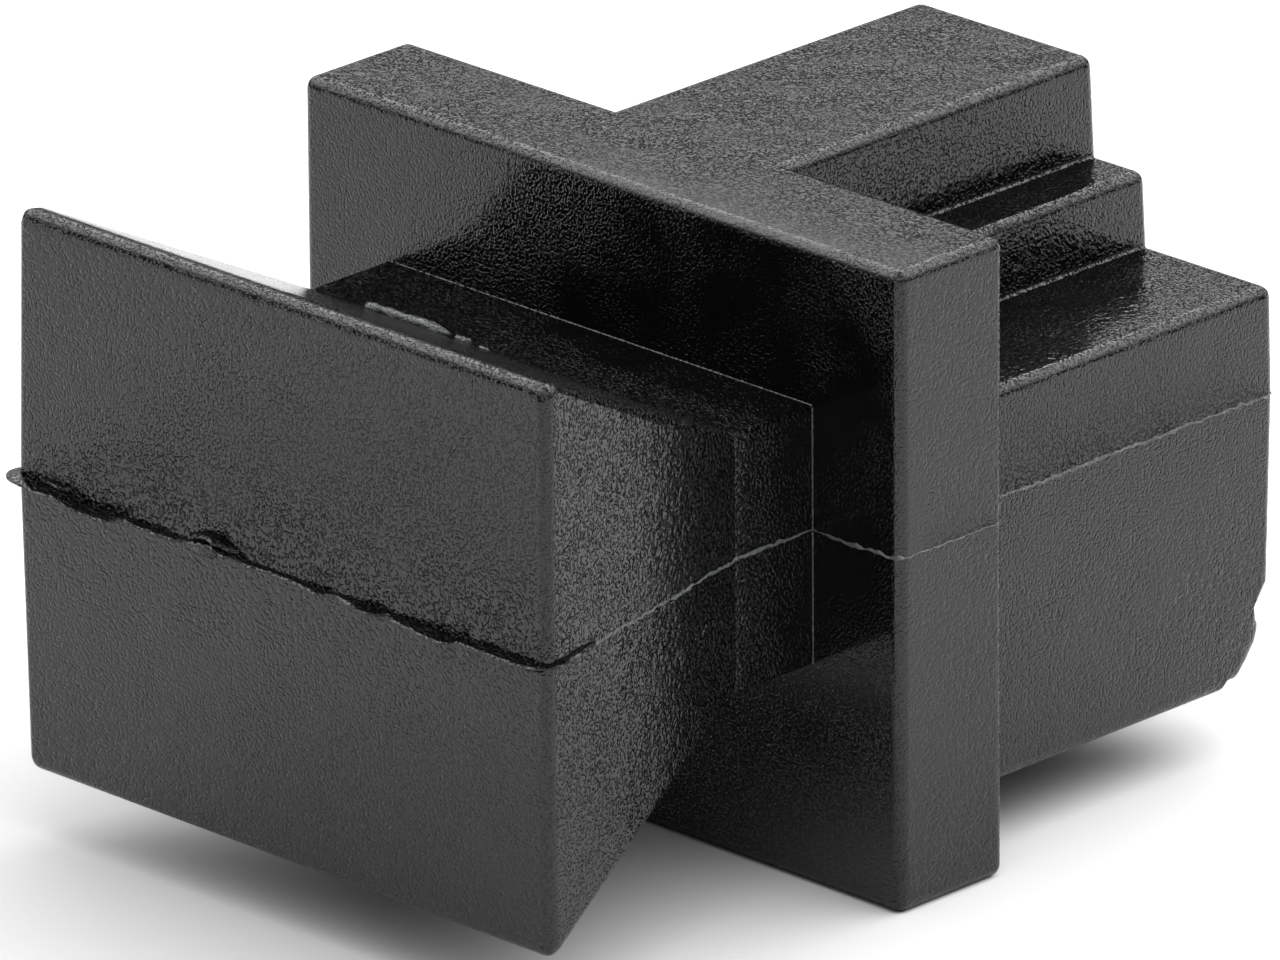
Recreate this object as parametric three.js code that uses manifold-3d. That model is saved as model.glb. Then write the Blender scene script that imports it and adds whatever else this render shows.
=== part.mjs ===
// A push-in dust plug for a modular (8P8C) network jack: one moulding, with what its mould left on it.
// Millimetres. The plug goes into the jack along +Y and the jack's latch keyway is up, +Z.
// Y = 0 is the seating plane, X = 0 the middle of the jack's opening, Z = 0 the mould's parting plane.
import * as THREE from "three";
import { ConvexGeometry } from "three/addons/geometries/ConvexGeometry.js";
import { mergeVertices } from "three/addons/utils/BufferGeometryUtils.js";
import Module from "manifold-3d";

// ---- Driving dimensions. Heights are measured from the parting plane, where every width is greatest.
const DRAFT = THREE.MathUtils.degToRad(0.75); // of the walls, both ways from the parting plane
const EDGE_RADIUS = 0.2; // of the outer edges

const INSERT = { width: 11.6, length: 7.05, top: 1.8, bottom: -4.85 };
const KEY_STEPS = [
  { width: 6.2, top: 3.05 }, // the wide step of the latch keyway
  { width: 4.1, top: 4.72 }, // the narrow step, for the latch itself
];
const KEY_DRAFT = THREE.MathUtils.degToRad(2.7); // of the steps' upright walls
const LEAD_IN = { length: 1.05, height: 1.65 }; // bevel under the insert's leading end

const FLANGE = { width: 13.15, thickness: 2.37, top: 4.72, bottom: -5.97 };
const NECK = { width: 9.35, length: 1.74, top: 2.08, bottom: -2.25, edge: 0.08 };
const GRIP = { width: 11.8, length: 5.34, top: 4.72, bottom: -4.95 };

const FLASH = { thickness: 0.12, proud: 0.35, thin: 0.2, beyond: 0.25, wrap: 1.3 };
const BURR = { from: -3.5, length: 1.6, tail: 1.1, width: 0.22, height: 0.2 };
const GATE = { length: 2.6, radius: 0.6, proud: 0.36, inset: 0.05, low: 0.1 };

// ---- Where the sub-parts meet along Y.
const FLANGE_FRONT = -FLANGE.thickness;
const NECK_FRONT = FLANGE_FRONT - NECK.length;
const GRIP_FRONT = NECK_FRONT - GRIP.length;
const ROOT = FLANGE_FRONT / 2; // what joins the flange starts inside it
const BALL_SEGMENTS = 8;
const SAME_POINT = 1e-5; // points closer than this are one

const moulded = new THREE.MeshStandardMaterial({ color: 0x1b1c1d, roughness: 0.45, metalness: 0 });

// ---- Solids.
const wasm = await Module();
wasm.setup();

function toSolid(geometry) {
  const bare = new THREE.BufferGeometry();
  bare.setAttribute("position", geometry.getAttribute("position"));
  const merged = mergeVertices(bare, SAME_POINT);
  return new wasm.Manifold(
    new wasm.Mesh({
      numProp: 3,
      vertProperties: merged.attributes.position.array,
      triVerts: new Uint32Array(merged.index.array),
    }),
  );
}

function toGeometry(solid) {
  const mesh = solid.getMesh();
  const geometry = new THREE.BufferGeometry();
  geometry.setAttribute("position", new THREE.BufferAttribute(mesh.vertProperties, 3));
  geometry.setIndex(new THREE.BufferAttribute(mesh.triVerts, 1));
  const faceted = geometry.toNonIndexed();
  faceted.computeVertexNormals();
  return faceted;
}

// A ball that touches the walls meeting at a corner. outward says which way each wall faces, 0 for none.
function ballIn(corner, outward, radius = EDGE_RADIUS) {
  const centre = corner.clone().addScaledVector(outward, -radius);
  const ball = new THREE.SphereGeometry(radius, BALL_SEGMENTS, BALL_SEGMENTS);
  const at = ball.getAttribute("position");
  return Array.from({ length: at.count }, (_, i) =>
    new THREE.Vector3().fromBufferAttribute(at, i).add(centre),
  );
}

// The convex solid around both the left and the right halves of a list of balls.
function mirroredHull(balls) {
  const points = balls.flat();
  const mirrored = points.map((p) => new THREE.Vector3(-p.x, p.y, p.z));
  return toSolid(new ConvexGeometry([...points, ...mirrored]));
}

// How far a wall has drawn in at a height over or under the parting plane.
const drawn = (height, draft = DRAFT) => Math.abs(height) * Math.tan(draft);

// ---- Sub-parts of the moulding.

// The pull grip: a block that flares from the neck to a tall flat front face.
function makeGrip() {
  const half = GRIP.width / 2;
  const front = [GRIP.bottom, 0, GRIP.top].map((z) => {
    const corner = new THREE.Vector3(half - drawn(z), GRIP_FRONT + drawn(z), z);
    return ballIn(corner, new THREE.Vector3(1, -1, Math.sign(z)));
  });
  const neckEnd = [NECK.bottom, NECK.top].map((z) => {
    const corner = new THREE.Vector3(NECK.width / 2, NECK_FRONT, z);
    return ballIn(corner, new THREE.Vector3(1, 0, Math.sign(z)), NECK.edge);
  });
  return mirroredHull([...front, ...neckEnd]);
}

// The straight neck, which leaves a finger groove between the grip and the flange.
function makeNeck() {
  const ends = [NECK_FRONT, ROOT].flatMap((y) =>
    [NECK.bottom, NECK.top].map((z) => {
      const corner = new THREE.Vector3(NECK.width / 2, y, z);
      return ballIn(corner, new THREE.Vector3(1, 0, Math.sign(z)), NECK.edge);
    }),
  );
  return mirroredHull(ends);
}

// The flange, whose back face seats on the jack around its opening.
function makeFlange() {
  const corners = [FLANGE_FRONT, 0].flatMap((y) =>
    [FLANGE.bottom, FLANGE.top].map((z) => {
      const corner = new THREE.Vector3(FLANGE.width / 2, y, z);
      return ballIn(corner, new THREE.Vector3(1, y < 0 ? -1 : 1, Math.sign(z)));
    }),
  );
  return mirroredHull(corners);
}

// The insert's body, with a bevel under its leading end.
function makeInsertBody() {
  const half = INSERT.width / 2;
  const underside = INSERT.bottom;
  const bevelled = underside + LEAD_IN.height;
  const tilt = Math.atan2(LEAD_IN.length, LEAD_IN.height); // of the bevel from upright
  const corners = [
    { z: INSERT.top, y: ROOT, back: 0 },
    { z: 0, y: ROOT, back: 0 },
    { z: underside, y: ROOT, back: 0 },
    { z: INSERT.top, y: INSERT.length, back: 1 },
    { z: 0, y: INSERT.length, back: 1 },
    { z: bevelled, y: INSERT.length, back: 1, down: -Math.tan(tilt / 2) },
    { z: underside, y: INSERT.length - LEAD_IN.length, back: Math.tan(Math.PI / 4 - tilt / 2) },
  ];
  return mirroredHull(
    corners.map(({ z, y, back, down = Math.sign(z) }) => {
      const corner = new THREE.Vector3(half - drawn(z), y - back * drawn(z), z);
      return ballIn(corner, new THREE.Vector3(1, back, down));
    }),
  );
}

// One step of the keyway, standing on the insert's body.
function makeKeyStep({ width, top }) {
  const heights = [0, top];
  const ends = [ROOT, INSERT.length];
  const corners = ends.flatMap((y) =>
    heights.map((z) => {
      const back = y > 0 ? 1 : 0;
      const half = width / 2 - drawn(z - INSERT.top, KEY_DRAFT) * Math.sign(z - INSERT.top);
      const corner = new THREE.Vector3(half, y - back * drawn(z), z);
      return ballIn(corner, new THREE.Vector3(1, back, z > 0 ? 1 : 0));
    }),
  );
  return mirroredHull(corners);
}

function makeMoulding() {
  const parts = [makeNeck(), makeFlange(), makeInsertBody(), ...KEY_STEPS.map(makeKeyStep)];
  return parts.reduce((whole, part) => whole.add(part), makeGrip());
}

// ---- What the mould left on it. Each is trimmed to the moulding that it stands on.

// A thin fin squeezed out between the mould's halves, round the front of the grip.
function makeGripFlash() {
  const half = GRIP.width / 2;
  const sideSlope = (GRIP.width - NECK.width) / 2 / GRIP.length;
  const wrapX = half - sideSlope * FLASH.wrap;
  const inside = NECK.width / 2 - 1;
  const outline = new THREE.Shape();
  outline.moveTo(-inside, GRIP_FRONT + FLASH.thin);
  outline.lineTo(-half, GRIP_FRONT + FLASH.thin);
  outline.quadraticCurveTo(
    -half - FLASH.beyond,
    GRIP_FRONT,
    -half - FLASH.beyond / 2,
    GRIP_FRONT - FLASH.thin,
  );
  outline.quadraticCurveTo(
    -half,
    GRIP_FRONT - FLASH.proud,
    -half + 2 * FLASH.proud,
    GRIP_FRONT - FLASH.proud,
  );
  outline.quadraticCurveTo(0, GRIP_FRONT - FLASH.thin, half, GRIP_FRONT - FLASH.thin);
  outline.quadraticCurveTo(half + FLASH.thin, GRIP_FRONT, wrapX, GRIP_FRONT + FLASH.wrap);
  outline.lineTo(inside, GRIP_FRONT + FLASH.wrap);
  const fin = new THREE.ExtrudeGeometry(outline, {
    depth: FLASH.thickness,
    bevelEnabled: false,
    curveSegments: 8,
  });
  return toSolid(fin);
}

// A sliver torn along the top of the neck, with a ragged thinner tail.
function makeNeckBurr() {
  const round = BURR.width / 2;
  const outline = new THREE.Shape();
  outline.absarc(BURR.from + round, 0, round, Math.PI / 2, (3 * Math.PI) / 2, false);
  outline.lineTo(BURR.from + BURR.length, -round);
  outline.lineTo(BURR.from + BURR.length + BURR.tail, 0);
  outline.lineTo(BURR.from + BURR.length, round);
  const bar = new THREE.ExtrudeGeometry(outline, {
    depth: BURR.height,
    bevelEnabled: false,
    curveSegments: BALL_SEGMENTS,
  });
  bar.translate(0, NECK_FRONT + round, NECK.top);
  return toSolid(bar);
}

// The rounded stub left a little below the middle of the lead-in bevel, where the gate was broken off.
function makeGateStub() {
  const tilt = Math.atan2(LEAD_IN.length, LEAD_IN.height);
  const outward = new THREE.Vector3(0, Math.cos(tilt), -Math.sin(tilt));
  const down = new THREE.Vector3(0, -Math.sin(tilt), -Math.cos(tilt));
  const middle = new THREE.Vector3(
    INSERT.width / 2 - drawn(INSERT.bottom) - GATE.inset - GATE.length / 2,
    INSERT.length - LEAD_IN.length / 2,
    INSERT.bottom + LEAD_IN.height / 2,
  )
    .addScaledVector(outward, GATE.proud - GATE.radius)
    .addScaledVector(down, GATE.low);
  const reach = GATE.length / 2 - GATE.radius;
  const ends = [-reach, reach].flatMap((x) =>
    ballIn(middle.clone().setX(middle.x + x), new THREE.Vector3(), GATE.radius),
  );
  return toSolid(new ConvexGeometry(ends));
}

// ---- Assembly.
const plug = new THREE.Group();

function addPart(name, solid) {
  const part = new THREE.Mesh(toGeometry(solid), moulded);
  part.name = name;
  plug.add(part);
}

const moulding = makeMoulding();
addPart("plug_moulding", moulding);
addPart("grip_flash", makeGripFlash().subtract(moulding));
addPart("neck_burr", makeNeckBurr().subtract(moulding));
addPart("gate_stub", makeGateStub().subtract(moulding));

export default plug;
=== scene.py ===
"""The looks of a moulded dust plug for a modular jack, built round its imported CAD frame.

The plug is worked out in millimetres, and each piece is turned into metres as it is finished.
X is across the jack, +Y the way the plug goes in, and Z = 0 the mould's parting plane.
"""

import math
from itertools import product

import bmesh
import bpy
from mathutils import Matrix, Vector, noise


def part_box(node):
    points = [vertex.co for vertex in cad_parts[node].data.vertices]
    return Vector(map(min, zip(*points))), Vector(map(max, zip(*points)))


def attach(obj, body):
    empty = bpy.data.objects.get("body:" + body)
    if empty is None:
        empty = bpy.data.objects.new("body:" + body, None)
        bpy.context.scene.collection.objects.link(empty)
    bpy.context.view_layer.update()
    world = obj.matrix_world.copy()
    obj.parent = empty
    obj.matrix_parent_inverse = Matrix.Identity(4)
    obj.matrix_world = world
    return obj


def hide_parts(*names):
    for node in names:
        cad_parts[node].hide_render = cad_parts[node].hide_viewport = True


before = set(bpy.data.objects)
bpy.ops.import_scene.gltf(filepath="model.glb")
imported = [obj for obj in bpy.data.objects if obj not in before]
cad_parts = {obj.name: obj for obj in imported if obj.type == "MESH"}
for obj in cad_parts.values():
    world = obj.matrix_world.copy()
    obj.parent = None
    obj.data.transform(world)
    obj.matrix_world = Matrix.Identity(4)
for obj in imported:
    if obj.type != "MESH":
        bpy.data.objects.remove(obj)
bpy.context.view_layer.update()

MM = 0.001
BODY = "root"

# ---- The moulding's driving dimensions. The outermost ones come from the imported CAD.
WITNESS = 0.02  # the parting ridge stands this proud where the moulding is longest and widest
low, high = (corner / MM for corner in map(Vector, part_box("plug_moulding")))
FLANGE_HALF, FLANGE_BOTTOM, FLANGE_TOP = high.x - WITNESS, low.z, high.z
GRIP_FRONT, INSERT_END = low.y, high.y - WITNESS
DRAFT = math.tan(math.radians(0.75))  # the walls draw in both ways from the parting plane

FLANGE_FRONT = -2.37
NECK_FRONT = FLANGE_FRONT - 1.74
NECK_HALF, NECK_BOTTOM, NECK_TOP = 4.675, -2.25, 2.08
GRIP_HALF, GRIP_BOTTOM, GRIP_TOP = 5.9, -4.95, FLANGE_TOP
INSERT_HALF, INSERT_BOTTOM, INSERT_TOP = 5.8, -4.85, 1.8
WIDE_STEP_HALF, WIDE_STEP_TOP = 3.1, 3.05
NARROW_STEP_HALF = 2.05
STEP_DRAFT = math.tan(math.radians(2.7))
LEAD_LENGTH, LEAD_HEIGHT = 1.05, 1.65  # the bevel under the insert's leading end
LEAD_TILT = math.atan2(LEAD_LENGTH, LEAD_HEIGHT)  # of that bevel from upright

# ---- Radii of the moulding's edges.
EDGE = 0.2  # the outer edges that have no radius of their own below
GRIP_TOP_EDGE = 0.28  # along the top of the grip's front
NECK_EDGE = 0.07  # along the neck
FLARE_CORNER, NECK_CORNER = 0.12, 0.03  # inside corners, where the neck meets the grip and the flange
INSERT_CORNER, STEP_CORNER = 0.05, 0.09  # inside corners, round the insert's root and beside its steps
LARGEST_BEVEL = 0.5  # an edge's bevel weight is its own width over this
LEAST_TURN = math.radians(4)  # edges that turn by less get no bevel, as where the draft changes
NEAR = 0.1  # what is this close to a plane counts as being on it

# ---- The camera's long lens and viewing angle, in degrees and millimetres.
CAMERA = dict(
    azimuth=44.559,
    elevation=21.168,
    roll=-0.376,
    distance=314.86,
    lens=560.65,
    aim=(-1.016, -0.992),  # the spot that it looks at, across and up the picture from the origin
)


# ---------------------------------------------------------------- helpers
def shade_smooth(mesh):
    mesh.polygons.foreach_set("use_smooth", [True] * len(mesh.polygons))


def finished(name, made, material, *nodes, crease=None):
    """A mesh or object in millimetres becomes a piece in metres, in place of the CAD nodes named.

    Edges that turn by more than the crease, in degrees, are shaded sharp.
    """
    mesh = made
    if isinstance(made, bpy.types.Object):
        shown = made.evaluated_get(bpy.context.evaluated_depsgraph_get())
        mesh = bpy.data.meshes.new_from_object(shown)
        bpy.data.objects.remove(made)
    mesh.name = name
    mesh.transform(Matrix.Scale(MM, 4))
    shade_smooth(mesh)
    if crease:
        mesh.set_sharp_from_angle(angle=math.radians(crease))
    mesh.materials.clear()
    mesh.materials.append(material)
    piece = bpy.data.objects.new(name, mesh)
    bpy.context.scene.collection.objects.link(piece)
    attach(piece, BODY)
    if nodes:
        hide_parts(*nodes)


def mesh_of(bm):
    """A bmesh as a mesh."""
    mesh = bpy.data.meshes.new("made")
    bm.to_mesh(mesh)
    bm.free()
    return mesh


def lofted(rings):
    """A closed mesh through rings of as many points each, capped at both ends and facing outwards."""
    bm = bmesh.new()
    rows = [[bm.verts.new(point) for point in ring] for ring in rings]
    for row, following in zip(rows, rows[1:]):
        for i in range(len(row)):
            j = (i + 1) % len(row)
            bm.faces.new((row[i], row[j], following[j], following[i]))
    bm.faces.new(rows[0])
    bm.faces.new(reversed(rows[-1]))
    bmesh.ops.recalc_face_normals(bm, faces=bm.faces)
    return mesh_of(bm)


def eased(points, at):
    """The value at a place along given (place, value) pairs, easing from each to the next."""
    if at <= points[0][0]:
        return points[0][1]
    for (a, before), (b, after) in zip(points, points[1:]):
        if at <= b:
            t = (at - a) / (b - a)
            return before + (after - before) * t * t * (3 - 2 * t)
    return points[-1][1]


def ripple(at, period, seed):
    """Smooth noise along a line, about -0.5 to 0.5."""
    return noise.noise(Vector((at / period, seed, 0.5 * seed)))


def ripples(at, *waves):
    """Several ripples added up, each given as its strength, period and seed."""
    return sum(strength * ripple(at, period, seed) for strength, period, seed in waves)


# ---------------------------------------------------------------- the moulding
def lattice_point(ix, iy, iz, xs, ys, zs):
    """Where a lattice corner really is, once flare, draft and lead-in have moved it."""
    x, y, z = xs[ix], ys[iy], zs[iz]
    side = math.copysign(1, x)
    if y == GRIP_FRONT:
        x *= GRIP_HALF / NECK_HALF
        z *= GRIP_TOP / NECK_TOP if z > 0 else GRIP_BOTTOM / NECK_BOTTOM
        draw = abs(z) * DRAFT
        return Vector((x - side * draw * (abs(xs[ix]) == NECK_HALF), y + draw, z))
    draw = abs(z) * DRAFT
    if y > 0:
        if abs(x) == INSERT_HALF:
            x -= side * draw
        elif z > 0 and abs(x) in (WIDE_STEP_HALF, NARROW_STEP_HALF):
            x -= side * (z - INSERT_TOP) * STEP_DRAFT
        if y == INSERT_END:
            y -= draw
            if z == INSERT_BOTTOM:
                y -= LEAD_LENGTH / 2
                z += LEAD_HEIGHT / 2
    elif y == 0 and abs(x) == INSERT_HALF and INSERT_BOTTOM <= z <= INSERT_TOP:
        x -= side * draw
    elif y == 0 and z > INSERT_TOP and abs(x) in (WIDE_STEP_HALF, NARROW_STEP_HALF):
        x -= side * (z - INSERT_TOP) * STEP_DRAFT
    return Vector((x, y, z))


def in_section(x, y, z):
    """Is this spot, given by the middle of a lattice cell, inside the moulding?"""
    if y < FLANGE_FRONT:
        return abs(x) < NECK_HALF and NECK_BOTTOM < z < NECK_TOP
    if y < 0:
        return True
    if z < INSERT_BOTTOM:
        return False
    if z < INSERT_TOP:
        return abs(x) < INSERT_HALF
    return abs(x) < (WIDE_STEP_HALF if z < WIDE_STEP_TOP else NARROW_STEP_HALF)


def sharp_moulding():
    """The sharp-edged moulding as the outer faces of the filled cells of a lattice."""
    halves = (FLANGE_HALF, INSERT_HALF, NECK_HALF, WIDE_STEP_HALF, NARROW_STEP_HALF)
    xs = [-h for h in halves] + [h for h in reversed(halves)]
    ys = [GRIP_FRONT, NECK_FRONT, FLANGE_FRONT, 0, INSERT_END - LEAD_LENGTH, INSERT_END]
    zs = [FLANGE_BOTTOM, INSERT_BOTTOM, INSERT_BOTTOM + LEAD_HEIGHT, NECK_BOTTOM, 0]
    zs += [INSERT_TOP, NECK_TOP, WIDE_STEP_TOP, FLANGE_TOP]
    lines = (xs, ys, zs)

    def filled(cell):
        if any(not 0 <= i < len(line) - 1 for i, line in zip(cell, lines)):
            return False
        return in_section(*((line[i] + line[i + 1]) / 2 for i, line in zip(cell, lines)))

    bm = bmesh.new()
    corners = {}

    def corner(index):
        if index not in corners:
            corners[index] = bm.verts.new(lattice_point(*index, *lines))
        return corners[index]

    for cell in product(*(range(len(line) - 1) for line in lines)):
        if not filled(cell):
            continue
        for axis, step in product(range(3), (0, 1)):
            beside = list(cell)
            beside[axis] += 2 * step - 1
            if filled(beside):
                continue
            a, b = (axis + 1) % 3, (axis + 2) % 3
            ring = []
            for da, db in ((0, 0), (1, 0), (1, 1), (0, 1)):
                at = list(cell)
                at[axis] += step
                at[a] += da
                at[b] += db
                ring.append(corner(tuple(at)))
            bm.faces.new(ring if step else reversed(ring))
    bm.normal_update()
    return bm


def edge_radius(edge):
    """The radius in millimetres that the mould gives this edge."""
    middle = (edge.verts[0].co + edge.verts[1].co) / 2
    if edge.is_convex:
        if middle.y < GRIP_FRONT + NEAR and middle.z > GRIP_TOP - NEAR:
            return GRIP_TOP_EDGE
        return NECK_EDGE if NECK_FRONT - NEAR < middle.y < FLANGE_FRONT - NEAR else EDGE
    if middle.y < FLANGE_FRONT + NEAR:
        return NECK_CORNER if middle.y > NECK_FRONT + NEAR else FLARE_CORNER
    return STEP_CORNER if middle.y > NEAR else INSERT_CORNER


def make_moulding(material):
    """The plug itself: the sharp moulding with every edge rounded to its own radius."""
    bm = sharp_moulding()
    weight = bm.edges.layers.float.new("bevel_weight_edge")
    for edge in bm.edges:
        turn = edge.calc_face_angle(0)
        if turn > LEAST_TURN:
            edge[weight] = min(1, edge_radius(edge) * math.tan(turn / 2) / LARGEST_BEVEL)
    mesh = mesh_of(bm)
    shade_smooth(mesh)
    moulding = bpy.data.objects.new("moulding", mesh)
    bpy.context.scene.collection.objects.link(moulding)
    bevel = moulding.modifiers.new("edges", "BEVEL")
    bevel.limit_method = "WEIGHT"
    bevel.width = LARGEST_BEVEL
    bevel.segments = 6
    bevel.use_clamp_overlap = False
    even = moulding.modifiers.new("flats", "WEIGHTED_NORMAL")
    even.weight = 100
    finished("plug_body", moulding, material, "plug_moulding")


# ---------------------------------------------------------------- the parting line
MOST_TURN = 0.25  # the most, in radians, that a route turns between stations


def rounded_route(corners, step):
    """A route through (x, y, radius) corners as (point, outward normal, distance) stations.

    The route goes round the plug anticlockwise seen from above, so outwards is on its right.
    """
    stretches = []
    here = Vector(corners[0][:2])
    for before, at, after in zip(corners, corners[1:], corners[2:]):
        corner = Vector(at[:2])
        come = (corner - Vector(before[:2])).normalized()
        go = (Vector(after[:2]) - corner).normalized()
        turn = math.atan2(come.x * go.y - come.y * go.x, come.dot(go))
        back = at[2] * math.tan(abs(turn) / 2)
        start = corner - come * back
        stretches.append((here, start, come, 0, 0))
        stretches.append((start, None, come, turn, at[2]))
        here = corner + go * back
    finish = Vector(corners[-1][:2])
    last_way = (finish - here).normalized()
    stretches.append((here, finish, last_way, 0, 0))

    stations = []
    gone = 0
    for start, end, along, turn, radius in stretches:
        length = abs(turn) * radius if end is None else (end - start).length
        count = max(1, math.ceil(length / step), math.ceil(abs(turn) / MOST_TURN))
        for i in range(count):
            share = i / count
            if end is None:
                heading = Matrix.Rotation(turn * share, 2) @ along
                side = math.copysign(1, turn)
                centre = start + Vector((-along.y, along.x)) * side * radius
                point = centre - Vector((-heading.y, heading.x)) * side * radius
            else:
                heading = along
                point = start + (end - start) * share
            stations.append((point, Vector((heading.y, -heading.x)), gone + length * share))
        gone += length
    stations.append((finish, Vector((last_way.y, -last_way.x)), gone))
    return stations


def flare_point(side, back):
    """A point on the side of the grip in the parting plane, so far back along it from the front."""
    slope = Vector((NECK_HALF - GRIP_HALF, NECK_FRONT - GRIP_FRONT)).normalized()
    return side * (GRIP_HALF + slope.x * back), GRIP_FRONT + slope.y * back


FIN_WRAP_LEFT, FIN_WRAP_RIGHT = 0.5, 1.3  # how far the fin goes round the grip's front corners
SUNK = 0.04  # how far what stands on the moulding starts inside it

RIDGE_HEIGHT, RIDGE_HALF_WIDTH = 0.043, 0.032  # at full boldness
RIDGE_STEP = 0.03  # between its sections
RIDGE_UNDER_FIN = 0.1  # how far the ridge's ends reach under the fin's
WORN, ON_GRIP, ON_INSERT = 0.35, 0.65, 0.8  # shares of full boldness
BY_NECK, ROOT_FADE = 0.85, 0.9  # the share on the neck and the flange's front, this far from the neck's root
RIM_FROM = INSERT_HALF + 0.4  # the flange's rim starts this far out


def ridge_boldness(point):
    """How bold the ridge is here: it is worn on the outermost faces and fades into the neck's root."""
    past_front = point.y > FLANGE_FRONT + NEAR
    if past_front and abs(point.x) > RIM_FROM or point.y > INSERT_END - EDGE:
        return WORN
    if past_front:
        return ON_INSERT
    if point.y < NECK_FRONT:
        return ON_GRIP
    to_root = math.hypot(abs(point.x) - NECK_HALF, point.y - FLANGE_FRONT)
    return WORN + (BY_NECK - WORN) * min(1, to_root / ROOT_FADE)


def make_parting_ridge(material):
    """The fine torn ridge all round where the mould's halves meet, from one end of the fin to the other."""
    right = [
        (NECK_HALF, NECK_FRONT, 0.3),
        (NECK_HALF, FLANGE_FRONT, 0.02),
        (FLANGE_HALF, FLANGE_FRONT, EDGE),
        (FLANGE_HALF, 0, EDGE),
        (INSERT_HALF, 0, 0.02),
        (INSERT_HALF, INSERT_END, EDGE),
    ]
    left = [(-x, y, r) for x, y, r in reversed(right)]
    start = (*flare_point(1, FIN_WRAP_RIGHT - RIDGE_UNDER_FIN), 0)
    end = (*flare_point(-1, FIN_WRAP_LEFT - RIDGE_UNDER_FIN), 0)
    rings = []
    for point, out, gone in rounded_route([start, *right, *left, end], RIDGE_STEP):
        bold = ridge_boldness(point)
        tall = 0.8 + ripples(gone, (0.9, 0.35, 0), (0.9, 0.09, 3))
        wide = 1 + ripples(gone, (0.9, 0.25, 7), (0.8, 0.08, 9))
        height = bold * RIDGE_HEIGHT * min(1.3, max(0.3, tall))
        width = bold * RIDGE_HALF_WIDTH * max(0.45, wide)
        middle = ripples(gone, (0.02, 0.6, 11), (0.03, 0.11, 13))
        section = [(-SUNK, -width), (0.3 * height, -width), (height, -0.5 * width)]
        section += [(0.85 * height, 0.1 * width), (0.1 * height, width), (-SUNK, width)]
        rings.append([Vector((*(point + out * o), middle + up)) for o, up in section])
    finished("parting_ridge", lofted(rings), material, crease=50)


# ---------------------------------------------------------------- the flash fin
# Listed along the front: how far the fin stands out, and how far it is lifted, at each x.
FIN_PROUD = [
    (-5.9, 0.26), (-5.25, 0.31), (-4.8, 0.3), (-4.1, 0.3), (-3.56, 0.29), (-3.42, 0.08), (-2.9, 0.16),
    (-2.36, 0.14), (-2.0, 0.06), (-1.45, 0.16), (-0.97, 0.2), (-0.73, 0.1), (-0.1, 0.09), (0.4, 0.11),
    (1.0, 0.18), (1.35, 0.08), (1.7, 0.14), (2.04, 0.24), (2.32, 0.19), (2.45, 0.07), (2.75, 0.17),
    (3.5, 0.27), (3.93, 0.28), (4.0, 0.12), (4.6, 0.19), (5.3, 0.19), (5.9, 0.15),
]
FIN_LIFT = [
    (-5.9, 0.12), (-4.8, 0.11), (-4.3, 0.03), (-2.2, 0.03), (-1.5, 0.13), (-0.9, 0.09), (-0.6, 0.02),
    (3.5, 0.01), (5, 0.03), (5.9, 0.05),
]
# How far it stands out near its two ends instead, by the distance from the end, and how far that goes.
FIN_LEFT_END, LEFT_END_LENGTH = [(0, 0.03), (0.3, 0.2), (0.6, 0.27)], 1
FIN_RIGHT_END, RIGHT_END_LENGTH = [(0, 0.03), (0.25, 0.08), (1.1, 0.12), (1.5, 0.15)], FIN_WRAP_RIGHT + 0.2
FIN_LEAST = 0.03  # it stands out at least this far
FIN_ROOT, FIN_TIP = 0.035, 0.02  # half the fin's thickness
FIN_RIM = 0.02  # the bevel along the fin's upper rim
FIN_STEP = 0.045  # between its sections


def fin_ring(point, out, proud, lift, droop):
    """One section of a fin: thick at its root, thin, bevelled and drooping at its edge."""
    shares = (0, 0.35, 0.7, 1)
    spots = [(proud * t, FIN_ROOT + (FIN_TIP - FIN_ROOT) * t, lift - droop * t * t) for t in shares]
    over = [(o, middle + half) for o, half, middle in spots]
    tip, top = over[-1]
    over[-1:] = [(tip - min(FIN_RIM, 0.2 * proud), top), (tip, top - FIN_RIM)]
    under = [(o, middle - half) for o, half, middle in reversed(spots)]
    section = [(-SUNK, lift + FIN_ROOT), *over, *under, (-SUNK, lift - FIN_ROOT)]
    return [Vector((*(point + out * o), z)) for o, z in section]


def make_flash_fin(material):
    """The thin fin squeezed out between the mould's halves across the front of the grip."""
    start = (*flare_point(-1, FIN_WRAP_LEFT), 0)
    end = (*flare_point(1, FIN_WRAP_RIGHT), 0)
    corners = [start, (-GRIP_HALF, GRIP_FRONT, EDGE), (GRIP_HALF, GRIP_FRONT, EDGE), end]
    stations = rounded_route(corners, FIN_STEP)
    total = stations[-1][2]
    rings = []
    for point, out, gone in stations:
        to_end = total - gone
        if to_end < RIGHT_END_LENGTH:
            proud = eased(FIN_RIGHT_END, to_end)
        elif gone < LEFT_END_LENGTH:
            proud = eased(FIN_LEFT_END, gone)
        else:
            proud = eased(FIN_PROUD, point.x)
        proud += ripples(gone, (0.02, 0.33, 2), (0.03, 0.09, 5))
        lift = eased(FIN_LIFT, point.x) + 0.02 * ripple(gone, 0.5, 9)
        droop = 0.1 * (0.5 + 0.8 * ripple(gone, 0.9, 4)) * proud + 0.015 * ripple(gone, 0.17, 6)
        rings.append(fin_ring(point, out, max(FIN_LEAST, proud), lift, droop))
    finished("flash_fin", lofted(rings), material, "grip_flash", crease=30)


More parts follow.
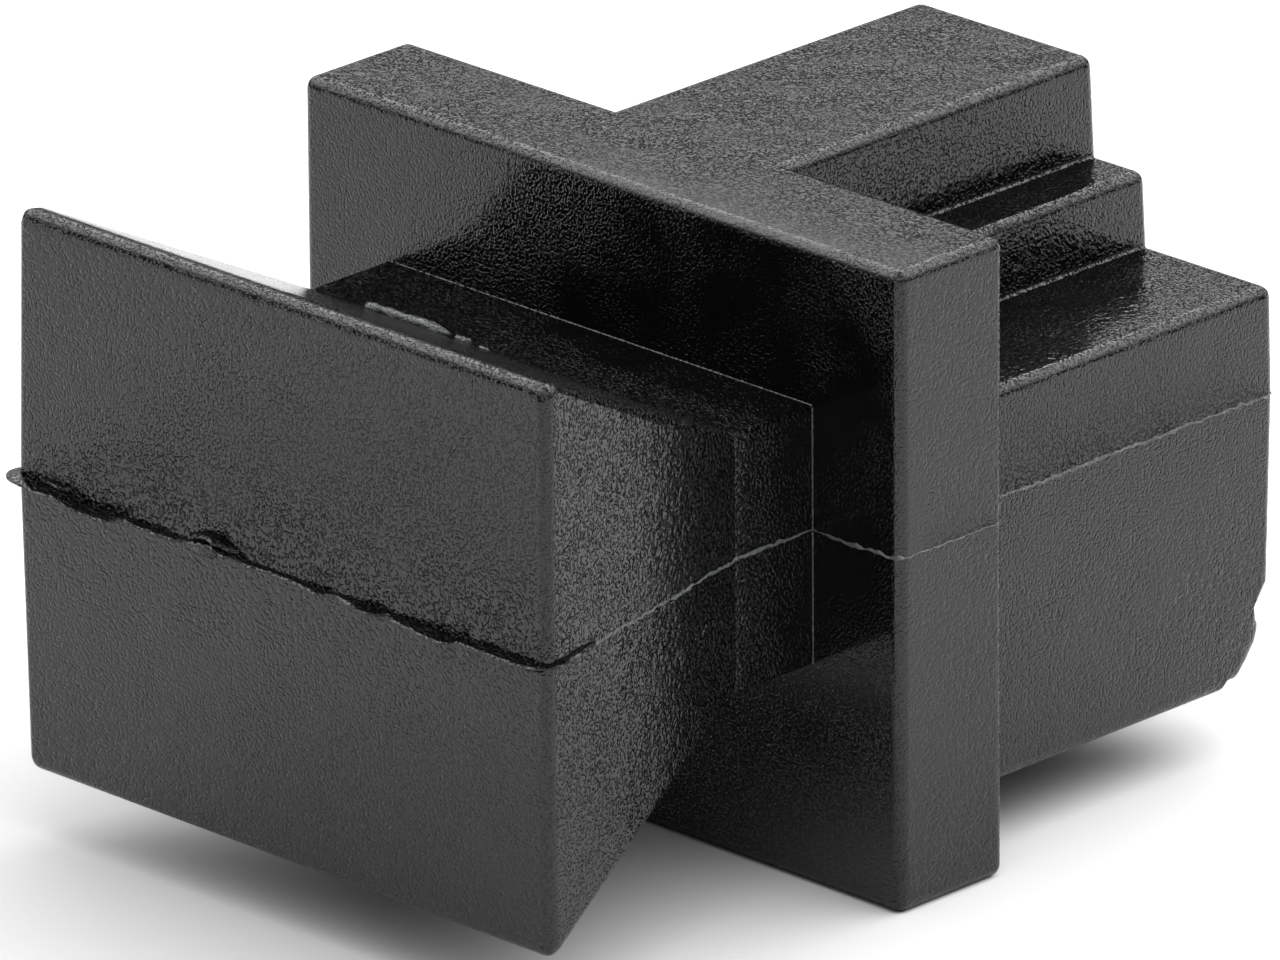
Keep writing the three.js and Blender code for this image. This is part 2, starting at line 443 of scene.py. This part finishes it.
# Each flap folded up against the front: its ends along x, how far it is lifted, how far it stands out.
FOLDS = {
    "flash_fold": (-1.95, -0.85, [(0, 0.17), (0.4, 0.29), (1, 0.16)], 0.16),
    "flash_streak": (-5.3, -4.62, [(0, 0.2), (1, 0.17)], 0.05),
    "flash_lip": (5.2, 5.75, [(0, -0.07), (1, -0.06)], 0.03),
}
FOLD_LEAST = 0.015  # a flap stands out this far at its ends
FOLD_STEP = 0.03  # between its sections


def make_fin_folds(material):
    """The places where the fin has buckled into a second thin flap."""
    ahead = Vector((0, -1))
    for name, (first, last, lifts, most) in FOLDS.items():
        count = round((last - first) / FOLD_STEP)
        rings = []
        for i in range(count + 1):
            t = i / count
            x = first + (last - first) * t
            swollen = math.sin(math.pi * t) ** 0.8 * (1 + 0.5 * ripple(x, 0.15, 8))
            proud = FOLD_LEAST + most * swollen
            rings.append(fin_ring(Vector((x, GRIP_FRONT)), ahead, proud, eased(lifts, t), 0.1 * proud))
        finished(name, lofted(rings), material, crease=30)


LEAF_X, LEAF_Z = -1.6, 0.01
LEAF_HALF_WIDTH, LEAF_HALF_HEIGHT, LEAF_PROUD = 0.3, 0.15, 0.06


def make_fin_leaf(material):
    """A thin round leaf of the fin, pressed against the front below it."""
    bands, sides = 12, 32
    rings = []
    for turn in (math.pi * i / bands for i in range(1, bands)):
        girth = math.sin(turn)
        y = GRIP_FRONT + LEAF_PROUD * math.cos(turn)
        ring = []
        for j in range(sides):
            way = math.tau * j / sides
            ragged = 1 + 0.25 * noise.noise(Vector((2 * math.cos(way), 2 * math.sin(way), 5)))
            across = LEAF_HALF_WIDTH * girth * math.cos(way) * ragged
            up = LEAF_HALF_HEIGHT * girth * math.sin(way) * ragged
            ring.append(Vector((LEAF_X + across, y, LEAF_Z + up)))
        rings.append(ring)
    finished("flash_leaf", lofted(rings), material)


# ---------------------------------------------------------------- the neck burr
SLIVER_STEP = 0.05  # between its sections
TORN_FROM, TORN_AWAY = 0.85, 0.6  # how far along a sliver its torn end starts, and the share of girth lost


def make_sliver(name, start, end, radius, material, *nodes, seed=0.0):
    """A lumpy sliver of plastic with a rounded first end and a torn last end."""
    length = (end - start).length
    count = max(6, round(length / SLIVER_STEP))
    sides = 12
    along = (end - start).normalized()
    across = along.cross(Vector((0, 0, 1))).normalized()
    up = across.cross(along)
    rings = []
    for i in range(count + 1):
        t = i / count
        middle = start + (end - start) * t
        near = min(1, t * length / radius)
        rounding = math.sqrt(max(0.02, 1 - (1 - near) ** 2))
        torn = 1 if t < TORN_FROM else 1 - TORN_AWAY * (t - TORN_FROM) / (1 - TORN_FROM)
        ring = []
        for j in range(sides):
            turn = math.tau * j / sides
            lump = 1 + 0.5 * noise.noise(Vector((t * 8, math.cos(turn), math.sin(turn) + seed)))
            reach = radius * rounding * torn * lump
            ring.append(middle + across * math.cos(turn) * reach + up * math.sin(turn) * reach)
        rings.append(ring)
    finished(name, lofted(rings), material, *nodes)


def make_neck_burr(material):
    """The torn sliver along the front of the neck's top, and the crumbs beyond its end."""

    def spot(x, ahead, over):
        """A place by its x, how far it is ahead of the neck's front, and how far over the neck's top."""
        return Vector((x, NECK_FRONT - ahead, NECK_TOP + over))

    make_sliver("neck_sliver", spot(-3.35, 0.05, 0.07), spot(-1.5, 0.04, 0.06), 0.095, material, "neck_burr")
    make_sliver("neck_crumb_1", spot(-1.38, 0.06, 0.04), spot(-1.02, 0.04, 0.05), 0.06, material, seed=3)
    make_sliver("neck_crumb_2", spot(-0.85, 0.06, 0.02), spot(-0.6, 0.07, 0.02), 0.04, material, seed=6)


# ---------------------------------------------------------------- the gate stub
GATE_LENGTH = 2.6
GATE_INSET = 0.03  # how far its end is inside the insert's wall
GATE_LOW, GATE_SUNK = 0.2, 0.05  # how far its axis is below the bevel's middle, and inside the bevel
GATE_PROUD, GATE_RUN = 0.44, 0.72  # its half-sizes across the bevel's face and along the bevel's slope


def make_gate_stub(material):
    """The rounded lump left on the lead-in bevel where the gate was broken off."""
    out = Vector((0, math.cos(LEAD_TILT), -math.sin(LEAD_TILT)))
    slope = Vector((0, math.sin(LEAD_TILT), math.cos(LEAD_TILT)))
    wall = INSERT_HALF + INSERT_BOTTOM * DRAFT
    middle = Vector((
        wall - GATE_INSET - GATE_LENGTH / 2,
        INSERT_END - LEAD_LENGTH / 2,
        INSERT_BOTTOM + LEAD_HEIGHT / 2,
    ))
    middle -= slope * GATE_LOW + out * GATE_SUNK
    count, sides = 60, 48
    rings = []
    for i in range(count + 1):
        s = -math.cos(math.pi * i / count)  # closer together at the blunt ends
        girth = max(0.01, (1 - abs(s) ** 14)) ** 0.5
        along = Vector((s * GATE_LENGTH / 2, 0, 0))
        ring = []
        for j in range(sides):
            turn = math.tau * j / sides
            place = Vector((along.x, math.cos(turn), math.sin(turn)))
            lump = 1 + 0.1 * noise.noise(place * 1.7) + 0.05 * noise.noise(place * 5)
            proud = GATE_PROUD * girth * lump * math.copysign(abs(math.cos(turn)) ** 0.8, math.cos(turn))
            run = GATE_RUN * girth * lump * math.sin(turn)
            ring.append(middle + along + out * proud + slope * run)
        rings.append(ring)
    finished("gate_scar", lofted(rings), material, "gate_stub")


# ---------------------------------------------------------------- material
SWELL, PIT = 0.012, 0.055  # the height in millimetres of the grain's swells, and the depth of its pits
SWELLS_PER_MM, PITS_PER_MM, PATCHES_PER_MM = 9, 19, 1.1
PIT_FLOOR, PIT_RIM = 0.35, 0.51  # the noise values where a pit's floor ends and where its rim is
ROUGHNESS_RANGE = 0.03  # how much rougher the swells' tops are
# Where the grain is weaker or stronger: the spot, how much nearer its edges are along Y,
# how far out the grain starts and stops changing, and its share of the full grain at the spot.
SMOOTH_SPOT = (3.0, FLANGE_FRONT, 0.5), 4, 4.0, 8.5, 0.1
ROUGH_SPOT = (INSERT_HALF, INSERT_END - 0.8, INSERT_BOTTOM + 1.0), 1, 0.5, 2.2, 3.0


def node(tree, kind, **values):
    """A new shader node with the inputs and properties given by name."""
    made = tree.nodes.new(kind)
    for name, value in values.items():
        label = name.replace("_", " ")
        if label in made.inputs:
            made.inputs[label].default_value = value
        else:
            setattr(made, name, value)
    return made


def moulded_plastic(name, shade=0.001, grain=1.0, roughness=0.1):
    """Black plastic with the pebble grain of a spark-eroded mould.

    The shade is its base colour, the grain a share of the full relief, and the roughness its least.
    """
    material = bpy.data.materials.new(name)
    material.use_nodes = True
    tree = material.node_tree
    links = tree.links
    shader = tree.nodes["Principled BSDF"]
    shader.inputs["Base Color"].default_value = (shade, 1.05 * shade, 1.1 * shade, 1)
    shader.inputs["IOR"].default_value = 1.5
    place = tree.nodes.new("ShaderNodeTexCoord")
    in_mm = node(tree, "ShaderNodeVectorMath", operation="SCALE", Scale=1 / MM)
    links.new(place.outputs["Object"], in_mm.inputs[0])

    def noise_texture(scale):
        made = node(tree, "ShaderNodeTexNoise", Scale=scale, Detail=1.0, Roughness=0.5)
        links.new(in_mm.outputs[0], made.inputs["Vector"])
        return made.outputs["Fac"]

    def maths(operation, a, b):
        made = node(tree, "ShaderNodeMath", operation=operation)
        for value, socket in zip((a, b), made.inputs):
            if isinstance(value, (int, float)):
                socket.default_value = value
            else:
                links.new(value, socket)
        return made.outputs[0]

    def remapped(value, taken, given, **values):
        """A value stretched from one range to another, and held at its ends."""
        made = node(tree, "ShaderNodeMapRange", From_Min=taken[0], From_Max=taken[1], To_Min=given[0],
                    To_Max=given[1], **values)
        links.new(value, made.inputs["Value"])
        return made.outputs["Result"]

    swell = noise_texture(SWELLS_PER_MM)
    worms = noise_texture(PITS_PER_MM)
    patches = noise_texture(PATCHES_PER_MM)
    pit = remapped(worms, (PIT_FLOOR, PIT_RIM), (-1, 0), interpolation_type="SMOOTHSTEP")
    strength = remapped(patches, (0.35, 0.65), (0.5, 1.2))
    swelling = maths("MULTIPLY", maths("ADD", swell, -0.5), SWELL)
    relief = maths("ADD", swelling, maths("MULTIPLY", pit, PIT))
    relief = maths("MULTIPLY", relief, strength)
    # The grain is weaker on the front of the flange, round the neck's root, and stronger by the gate.
    for spot, squeeze, near, far, at_spot in (SMOOTH_SPOT, ROUGH_SPOT):
        offset = node(tree, "ShaderNodeVectorMath", operation="SUBTRACT")
        offset.inputs[1].default_value = spot
        links.new(in_mm.outputs[0], offset.inputs[0])
        squeezed = node(tree, "ShaderNodeVectorMath", operation="MULTIPLY")
        squeezed.inputs[1].default_value = (1, squeeze, 1)
        links.new(offset.outputs["Vector"], squeezed.inputs[0])
        away = node(tree, "ShaderNodeVectorMath", operation="LENGTH")
        links.new(squeezed.outputs["Vector"], away.inputs[0])
        relief = maths("MULTIPLY", relief, remapped(away.outputs["Value"], (near, far), (at_spot, 1)))

    bump = node(tree, "ShaderNodeBump", Strength=1.0, Distance=grain * MM)
    links.new(relief, bump.inputs["Height"])
    links.new(bump.outputs["Normal"], shader.inputs["Normal"])
    rough = remapped(swell, (0.3, 0.7), (roughness, roughness + ROUGHNESS_RANGE))
    links.new(rough, shader.inputs["Roughness"])
    return material


# ---------------------------------------------------------------- stage
FLOOR_REACH = 2.0  # metres
FLOOR_GREY = (0.45, 0.45, 0.45, 1)
LAMP_PLACE, LAMP_SIZE, LAMP_POWER = Vector((0.03, 0.03, 0.12)), 0.2, 0.55  # metres and watts


def make_floor():
    """A pale floor at the height of the flange's lower edge."""
    z = FLANGE_BOTTOM * MM
    sides = ((-1, -1), (1, -1), (1, 1), (-1, 1))
    mesh = bpy.data.meshes.new("floor")
    mesh.from_pydata([(x * FLOOR_REACH, y * FLOOR_REACH, z) for x, y in sides], [], [(0, 1, 2, 3)])
    floor = bpy.data.objects.new("floor", mesh)
    bpy.context.scene.collection.objects.link(floor)
    material = bpy.data.materials.new("pale_floor")
    material.use_nodes = True
    shader = material.node_tree.nodes["Principled BSDF"]
    shader.inputs["Base Color"].default_value = FLOOR_GREY
    shader.inputs["Roughness"].default_value = 0.9
    shader.inputs["Specular IOR Level"].default_value = 0
    mesh.materials.append(material)


def make_lamp():
    """A square lamp over and behind the plug, for the floor round it."""
    data = bpy.data.lights.new("pool", "AREA")
    data.shape = "SQUARE"
    data.size = LAMP_SIZE
    data.energy = LAMP_POWER
    lamp = bpy.data.objects.new("pool", data)
    lamp.location = LAMP_PLACE
    lamp.rotation_euler = (-LAMP_PLACE).to_track_quat("-Z", "Y").to_euler()
    lamp.visible_glossy = False  # what the plastic mirrors is the room, not the lamp
    bpy.context.scene.collection.objects.link(lamp)


FAR_SIDE = (-0.70, 0.71, 0.0)  # the way from the camera's side of the studio to its far side
NEAR_SIDE = 0.4  # how bright the camera's side is, as a share of the far side
# How bright the studio is at each height, given as the upward part of the direction.
SKY = [(0.0, 0.1), (0.12, 0.12), (0.36, 1.14), (0.56, 3.7), (0.78, 3.7), (0.92, 0.6)]
TWICE_REFLECTED = 0.1  # the share of the studio's light that is left after two reflections


def make_world():
    """A studio that is dark at the horizon, brightest half-way up, and dimmer on the camera's side."""
    world = bpy.data.worlds.new("studio")
    bpy.context.scene.world = world
    world.use_nodes = True
    tree = world.node_tree
    links = tree.links
    way = tree.nodes.new("ShaderNodeTexCoord")
    split = tree.nodes.new("ShaderNodeSeparateXYZ")
    links.new(way.outputs["Generated"], split.inputs[0])
    facing = node(tree, "ShaderNodeVectorMath", operation="DOT_PRODUCT")
    facing.inputs[1].default_value = FAR_SIDE
    links.new(way.outputs["Generated"], facing.inputs[0])
    side = node(tree, "ShaderNodeMapRange", interpolation_type="SMOOTHSTEP", From_Min=-0.3, From_Max=0.15,
                To_Min=NEAR_SIDE, To_Max=1.0)
    links.new(facing.outputs["Value"], side.inputs["Value"])
    height = tree.nodes.new("ShaderNodeValToRGB")
    ramp = height.color_ramp
    while len(ramp.elements) < len(SKY):
        ramp.elements.new(1)
    for stop, (z, level) in zip(ramp.elements, SKY):
        stop.position = z
        stop.color = (level, level, level, 1)
    links.new(split.outputs["Z"], height.inputs["Fac"])
    both = node(tree, "ShaderNodeMath", operation="MULTIPLY")
    links.new(side.outputs["Result"], both.inputs[0])
    links.new(height.outputs["Color"], both.inputs[1])
    # Stands in for light lost where two reflections cross its polarisation, which Cycles doesn't model.
    path = tree.nodes.new("ShaderNodeLightPath")
    kept = node(tree, "ShaderNodeMapRange", From_Min=1, From_Max=2, To_Min=1, To_Max=TWICE_REFLECTED)
    links.new(path.outputs["Glossy Depth"], kept.inputs["Value"])
    reaching = node(tree, "ShaderNodeMath", operation="MULTIPLY")
    links.new(both.outputs[0], reaching.inputs[0])
    links.new(kept.outputs["Result"], reaching.inputs[1])
    background = tree.nodes["Background"]
    background.inputs["Color"].default_value = (1, 1, 1, 1)
    links.new(reaching.outputs[0], background.inputs["Strength"])


def make_camera():
    """The scene's camera, looking at its spot from the distance and angles in CAMERA."""
    az, el, roll = (math.radians(CAMERA[angle]) for angle in ("azimuth", "elevation", "roll"))
    back = Vector((math.sin(az) * math.cos(el), -math.cos(az) * math.cos(el), math.sin(el)))
    right = Vector((math.cos(az), math.sin(az), 0))
    up = back.cross(right)
    across, along = CAMERA["aim"]
    place = right * across + up * along + back * CAMERA["distance"]
    turned = Matrix((right, up, back)).transposed().to_4x4() @ Matrix.Rotation(roll, 4, "Z")
    data = bpy.data.cameras.new("camera")
    data.lens = CAMERA["lens"]
    data.clip_start, data.clip_end = 0.01, 10
    camera = bpy.data.objects.new("camera", data)
    camera.matrix_world = Matrix.Translation(place * MM) @ turned
    bpy.context.scene.collection.objects.link(camera)
    bpy.context.scene.camera = camera


make_camera()
make_world()
make_lamp()
make_floor()
bpy.context.scene.view_settings.view_transform = "Standard"

black = moulded_plastic("moulded_black")
black_fin = moulded_plastic("torn_edge", grain=0.5, roughness=0.14)
# The parting ridge's base colour, lighter than the plug's black, is a painted highlight for the bright light
# its upturned faces mirror.
torn = moulded_plastic("ridge_painted_highlight", shade=0.06, grain=0.3, roughness=0.2)
# The neck burr's base colour, lighter than the plug's black, is a painted highlight for the sky its top
# mirrors.
burr_painted_highlight = moulded_plastic("burr_painted_highlight", shade=0.035, grain=0.3, roughness=0.2)
make_moulding(black)
make_parting_ridge(torn)
make_flash_fin(black_fin)
make_fin_folds(black_fin)
make_fin_leaf(black_fin)
make_neck_burr(burr_painted_highlight)
make_gate_stub(black_fin)
